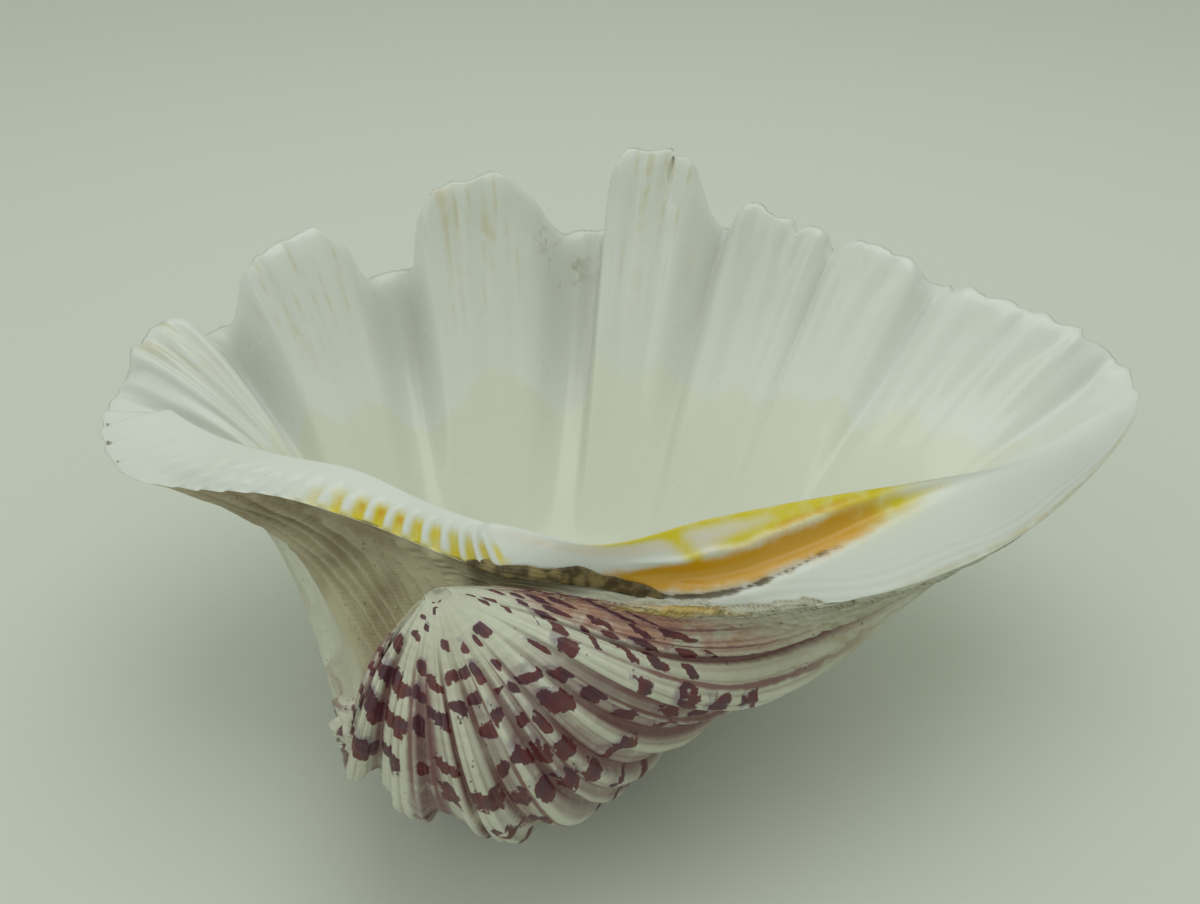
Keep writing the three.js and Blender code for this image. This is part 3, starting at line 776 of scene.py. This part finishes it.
# %% Speckles
def scatter(tree, column, row):
    """Three random numbers for each place in the pattern."""
    joined = add_node(tree, "ShaderNodeCombineXYZ")
    tree.links.new(column, joined.inputs["X"])
    tree.links.new(row, joined.inputs["Y"])
    random = add_node(tree, "ShaderNodeTexWhiteNoise", noise_dimensions="3D")
    tree.links.new(joined.outputs["Vector"], random.inputs["Vector"])
    parts = add_node(tree, "ShaderNodeSeparateColor")
    tree.links.new(random.outputs["Color"], parts.inputs["Color"])
    return [parts.outputs[n] for n in range(3)]


def superellipse(tree, a, b):
    cubes = [maths(tree, "POWER", maths(tree, "ABSOLUTE", side), 3.0) for side in (a, b)]
    return maths(tree, "POWER", maths(tree, "ADD", *cubes), 1 / 3)


def speckles(tree, soft, fine):
    rib_place, grown = number(tree, "rib"), number(tree, "rows")
    column_number = maths(tree, "FLOOR", rib_place)
    first, second, third = scatter(tree, column_number, times(tree, column_number, 0.37))
    density = maths(tree, "MULTIPLY_ADD", first, 0.45, 0.80)
    swing = times(tree, maths(tree, "SUBTRACT", soft, 0.5), 1.1)
    row_place = maths(tree, "MULTIPLY_ADD", grown, density, maths(tree, "MULTIPLY_ADD", second, 9.0, swing))
    row_number = maths(tree, "FLOOR", row_place)
    chance, width, height = scatter(tree, column_number, maths(tree, "ADD", row_number, 0.5))
    across = maths(tree, "SUBTRACT", maths(tree, "SUBTRACT", rib_place, column_number), 0.5)
    across = maths(tree, "MULTIPLY_ADD", maths(tree, "SUBTRACT", chance, 0.5), 0.25, across)
    lengthwise = maths(tree, "SUBTRACT", maths(tree, "SUBTRACT", row_place, row_number), 0.5)
    lengthwise = maths(tree, "MULTIPLY_ADD", maths(tree, "SUBTRACT", height, 0.5), 0.24, lengthwise)
    wide = maths(tree, "MULTIPLY_ADD", width, 0.24, 0.29)
    wide = times(tree, wide, maths(tree, "MULTIPLY_ADD", number(tree, "size"), -0.7, 1.25))
    tall = maths(tree, "MULTIPLY_ADD", height, 0.18, 0.15)
    a, b = maths(tree, "DIVIDE", across, wide), maths(tree, "DIVIDE", lengthwise, tall)
    ragged = maths(tree, "MULTIPLY_ADD", soft, 0.9, times(tree, fine, 0.75))
    ragged = maths(tree, "SUBTRACT", ragged, 0.80)
    present = maths(tree, "LESS_THAN", chance, number(tree, "share"))
    painted = times(tree, present, band(tree, number(tree, "coloured"), 0.25, 0.60))
    level = maths(tree, "ADD", maths(tree, "SUBTRACT", 1.0, superellipse(tree, a, b)), ragged)
    mark = times(tree, band(tree, level, -0.04, 0.14), painted)
    # The violet haze trails off towards the beak, on the older side of a speckle.
    older = times(tree, maths(tree, "ADD", b, 0.9), 0.5)
    spread = superellipse(tree, times(tree, a, 0.8), older)
    haze = band(tree, maths(tree, "SUBTRACT", 1.0, spread), 0.0, 0.75)
    haze = times(tree, haze, band(tree, third, 0.0, 0.5))
    return mark, times(tree, haze, painted)


def furrow_lines(tree, soft):
    """Wine-coloured lines down the furrows, where one column of speckles meets the next."""
    within = maths(tree, "FRACT", number(tree, "rib"))
    from_middle = maths(tree, "ABSOLUTE", maths(tree, "SUBTRACT", within, 0.5))
    line = band(tree, maths(tree, "MULTIPLY_ADD", soft, 0.16, from_middle), 0.44, 0.54)
    size = number(tree, "size")
    early = maths(tree, "SUBTRACT", band(tree, size, 0.07, 0.16), band(tree, size, 0.40, 0.60))
    return times(tree, times(tree, line, early), number(tree, "coloured"))


# %% [markdown]
# The colours are laid over each other from the oldest to the latest: ground, bands, haze, stains,
# speckles, skin and dirt. Each layer is a Mix node whose factor is a mask.

# %% Outside material
def paint_outside(material):
    material.use_nodes = True
    tree = material.node_tree
    soft, fine, broad = noise(tree, 150.0, 4.0), noise(tree, 560.0, 3.0), noise(tree, 26.0, 4.0)
    colour = blend(tree, band(tree, broad, 0.35, 0.70), (0.66, 0.65, 0.55), (0.52, 0.50, 0.39))
    colour = blend(tree, times(tree, number(tree, "ochre"), 0.70), colour, (0.42, 0.28, 0.11))
    banded = times(tree, number(tree, "band"), band(tree, soft, 0.22, 0.58))
    colour = blend(tree, times(tree, banded, 0.92), colour, (0.50, 0.235, 0.165))
    amber = times(tree, number(tree, "amber"), band(tree, soft, 0.25, 0.55))
    colour = blend(tree, times(tree, amber, 0.8), colour, (0.58, 0.36, 0.05))
    mark, haze = speckles(tree, soft, fine)
    haze = times(tree, haze, band(tree, soft, 0.28, 0.62))
    colour = blend(tree, times(tree, haze, 0.72), colour, (0.20, 0.14, 0.22))
    stained = times(tree, number(tree, "between"), band(tree, soft, 0.15, 0.50))
    colour = blend(tree, times(tree, stained, 0.90), colour, (0.215, 0.105, 0.110))
    seams = maths(tree, "MAXIMUM", number(tree, "seam_lines"), furrow_lines(tree, soft))
    seams = times(tree, seams, band(tree, broad, 0.26, 0.50))
    colour = blend(tree, times(tree, seams, 0.92), colour, (0.200, 0.082, 0.078))
    dark = blend(tree, band(tree, soft, 0.42, 0.60), (0.125, 0.012, 0.018), (0.075, 0.012, 0.030))
    colour = blend(tree, times(tree, mark, 0.95), colour, dark)
    skin = blend(tree, band(tree, broad, 0.32, 0.62), (0.26, 0.190, 0.095), (0.50, 0.445, 0.290))
    colour = blend(tree, times(tree, number(tree, "lunule"), 0.88), colour, skin)
    grime = times(tree, number(tree, "grime"), band(tree, soft, 0.25, 0.60))
    colour = blend(tree, times(tree, grime, 0.80), colour, (0.185, 0.125, 0.055))
    horny = times(tree, number(tree, "skin"), band(tree, soft, 0.12, 0.42))
    colour = blend(tree, times(tree, horny, 0.9), colour, (0.16, 0.115, 0.050))
    specks = use_group(tree, dirt, Spread=0.55, Speck_Size=330.0)
    dirty = times(tree, specks.outputs["Amount"], 0.8)
    colour = blend(tree, dirty, colour, (0.07, 0.05, 0.035))
    lines = use_group(tree, growth_lines, Growth=number(tree, "size"), Lines=420.0, Raggedness=0.8)
    roughness = maths(tree, "MULTIPLY_ADD", soft, 0.22, 0.34)
    finish_shader(tree, colour, roughness, lines.outputs["Height"], 0.28, 0.0005)


paint_outside(outer_side)

# %% [markdown]
# ## Inside
# Almost white, and a little warmer in the bowl, below the line where the animal was fixed. Yellow
# stands between the teeth of the lip and along the hinge plate, orange fills the groove, the middle
# of the plate is faintly pink, and old stains run down the tips of the tongues.

# %% Inside material
def paint_inside(material):
    material.use_nodes = True
    tree = material.node_tree
    soft, broad = noise(tree, 150.0, 4.0), noise(tree, 14.0, 3.0)
    colour = blend(tree, band(tree, broad, 0.35, 0.70), (0.80, 0.81, 0.785), (0.74, 0.75, 0.71))
    colour = blend(tree, times(tree, number(tree, "bowl"), 0.8), colour, (0.775, 0.775, 0.665))
    streaky = band(tree, soft, 0.25, 0.65)
    stain = times(tree, number(tree, "stain"), streaky)
    colour = blend(tree, times(tree, stain, 0.55), colour, (0.60, 0.50, 0.24))
    colour = blend(tree, times(tree, number(tree, "pink"), 0.75), colour, (0.78, 0.66, 0.56))
    yellow = times(tree, number(tree, "yellow"), maths(tree, "MULTIPLY_ADD", streaky, 0.3, 0.7))
    colour = blend(tree, yellow, colour, (0.76, 0.61, 0.0))
    orange = band(tree, maths(tree, "MULTIPLY_ADD", streaky, 0.25, number(tree, "orange")), 0.25, 0.85)
    colour = blend(tree, times(tree, orange, 0.97), colour, (0.70, 0.355, 0.0))
    dark = band(tree, maths(tree, "MULTIPLY_ADD", streaky, 0.60, number(tree, "dark")), 0.75, 1.30)
    colour = blend(tree, times(tree, dark, 0.85), colour, (0.085, 0.050, 0.016))
    specks = use_group(tree, dirt, Spread=0.40, Speck_Size=380.0)
    dotted = maths(tree, "MAXIMUM", times(tree, specks.outputs["Amount"], 0.7),
                   times(tree, number(tree, "dots"), band(tree, soft, 0.52, 0.62)))
    colour = blend(tree, times(tree, dotted, 0.7), colour, (0.30, 0.19, 0.05))
    lines = use_group(tree, growth_lines, Growth=noise(tree, 20.0, 2.0), Lines=14.0, Raggedness=0.1)
    shader = finish_shader(tree, colour, maths(tree, "MULTIPLY_ADD", soft, 0.10, 0.24),
                           lines.outputs["Height"], 0.10, 0.0002)
    shader.inputs["Coat Weight"].default_value = 0.35
    shader.inputs["Specular IOR Level"].default_value = 0.4
    shader.inputs["Coat Roughness"].default_value = 0.08


paint_inside(inner_side)
print("materials:", outer_side.name, inner_side.name)

# %% [markdown]
# ## The ligament
# On a live clam a horny ligament joins the valves. What is left here is a brown, split skin along the
# hinge beside the beak. A grid is laid over the hinge, made thick with Solidify, and its edge is left
# ragged.

# %% Ligament remnant
LIGAMENT_FROM, LIGAMENT_TO = 0.955, 1.018
LIGAMENT_THICKNESS, LIGAMENT_FORWARD = 0.9, 0.6
clear_selection()
bpy.ops.mesh.primitive_grid_add(x_subdivisions=90, y_subdivisions=14, size=2)
ligament = bpy.context.object
ligament.name = "ligament_remnant"
sheet = np.empty(len(ligament.data.vertices) * 3)
ligament.data.vertices.foreach_get("co", sheet)
sheet = sheet.reshape(-1, 3)
lengthwise, crosswise = (sheet[:, 0] + 1) / 2, (sheet[:, 1] + 1) / 2
frayed = (0.70 + 0.24 * waves(lengthwise * 4, crosswise * 0, 1.4, 3)
          + 0.06 * waves(lengthwise * 26, crosswise, 1.4))
width = 0.07 + 0.22 * frayed * np.sin(math.pi * np.clip(lengthwise * 1.02, 0, 1)) ** 0.6
strip_place = LIGAMENT_FROM + (LIGAMENT_TO - LIGAMENT_FROM) * lengthwise
strip = hinge_point(strip_place % 1, width * crosswise)
fibres = 0.16 * np.sin(crosswise * 22 + 4 * waves(lengthwise * 5, crosswise, 1.0))
lift = 0.5 + fibres + 0.5 * np.sin(math.pi * crosswise) * (0.6 + 0.4 * frayed)
# One flap of it has curled up from the hinge.
FLAP_HEIGHT, FLAP_AT, FLAP_HALF_WIDTH = 1.3, 0.36, 0.06
lift += FLAP_HEIGHT * hump(lengthwise, FLAP_AT, FLAP_HALF_WIDTH) * ease(0.55, 1.0, crosswise)
strip[:, 2] += lift * np.sin(math.pi * np.clip(lengthwise, 0.02, 0.98)) ** 0.4
strip[:, 1] -= LIGAMENT_FORWARD
ligament.data.vertices.foreach_set("co", (strip * MM + place_of_beak).ravel())
ligament.data.update()
solid = ligament.modifiers.new("thickness", "SOLIDIFY")
solid.thickness = LIGAMENT_THICKNESS * MM
solid.offset = 1
bpy.ops.object.modifier_apply(modifier=solid.name)
bpy.ops.object.mode_set(mode="EDIT")
bpy.ops.mesh.select_all(action="SELECT")
bpy.ops.mesh.normals_make_consistent(inside=False)
bpy.ops.object.mode_set(mode="OBJECT")
bpy.ops.object.shade_smooth()
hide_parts("ligament")
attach(ligament, "root")


def paint_ligament():
    material = bpy.data.materials.new("dry_ligament")
    material.use_nodes = True
    tree = material.node_tree
    soft = noise(tree, 260.0, 4.0)
    colour = blend(tree, band(tree, soft, 0.35, 0.68), (0.080, 0.052, 0.020), (0.32, 0.24, 0.105))
    specks = use_group(tree, dirt, Spread=0.5, Speck_Size=420.0)
    colour = blend(tree, specks.outputs["Amount"], colour, (0.02, 0.015, 0.01))
    finish_shader(tree, colour, 0.55, noise(tree, 500.0, 3.0), 0.5, 0.0005)
    return material


ligament.data.materials.append(paint_ligament())
print("ligament faces:", len(ligament.data.polygons))

# %% [markdown]
# ## Floor, light and camera
# A pale floor, one wide soft light overhead with a weaker one from the window side, a small pane of
# light that gives the glossy hollow its highlights, and an even sky. The floor lies a hair under the
# shell, so that the two surfaces never fill the same place. The camera looks down at the hollow from
# the hinge side.

# %% Floor and light
clear_selection()
FLOOR_SIZE, FLOOR_GAP = 6.0, 0.0002
bpy.ops.mesh.primitive_plane_add(size=FLOOR_SIZE, location=(0, 0, -FLOOR_GAP))
floor = bpy.context.object
floor.name = "floor"
floor_material = bpy.data.materials.new("pale_floor")
floor_material.use_nodes = True
floor_shader = floor_material.node_tree.nodes["Principled BSDF"]
floor_shader.inputs["Base Color"].default_value = (0.72, 0.74, 0.68, 1)
floor_shader.inputs["Roughness"].default_value = 0.5
floor.data.materials.append(floor_material)


def area_light(name, place, aim, size, power, colour):
    light = bpy.data.lights.new(name, "AREA")
    light.shape = "RECTANGLE"
    light.size, light.size_y = size
    light.energy = power
    light.color = colour
    lamp = bpy.data.objects.new(name, light)
    bpy.context.scene.collection.objects.link(lamp)
    lamp.location = place
    direction = np.array(aim) - np.array(place)
    lamp.rotation_euler = (
        math.atan2(math.hypot(direction[0], direction[1]), -direction[2]), 0,
        math.atan2(direction[1], direction[0]) - math.pi / 2)


area_light("overhead", (0.10, 0.25, 1.10), (0, 0, 0.05), (1.0, 0.8), 2.8, (0.98, 1.0, 0.95))
area_light("window", (-0.9, -0.5, 0.9), (0, 0, 0.05), (0.9, 0.7), 1.1, (0.97, 1.0, 0.97))
area_light("window pane", (-0.80, -1.15, 0.50), (0.08, 0.08, 0.10), (0.20, 0.32), 0.45, (1.0, 1.0, 1.0))
world = bpy.data.worlds.new("even sky")
world.use_nodes = True
world.node_tree.nodes["Background"].inputs["Color"].default_value = (0.79, 0.88, 0.76, 1)
world.node_tree.nodes["Background"].inputs["Strength"].default_value = 0.60
bpy.context.scene.world = world

# %% [markdown]
# The camera stands a little above the hinge side and looks down. The Standard view transform keeps
# the colours as they were chosen, where Filmic or AgX would mute them.

# %% Camera
CAMERA_FROM_BEAK = np.array([33.0, -198.0, 181.0]) * MM
LOOK_DOWN = math.radians(35.0)
SENSOR_WIDTH, LENS_LENGTH = 36.0, 31.17
camera_data = bpy.data.cameras.new("camera")
camera_data.sensor_width = SENSOR_WIDTH
camera_data.lens = LENS_LENGTH
camera = bpy.data.objects.new("camera", camera_data)
bpy.context.scene.collection.objects.link(camera)
camera.location = place_of_beak + CAMERA_FROM_BEAK
camera.rotation_euler = (math.pi / 2 - LOOK_DOWN, 0, 0)
bpy.context.scene.camera = camera
bpy.context.scene.view_settings.view_transform = "Standard"
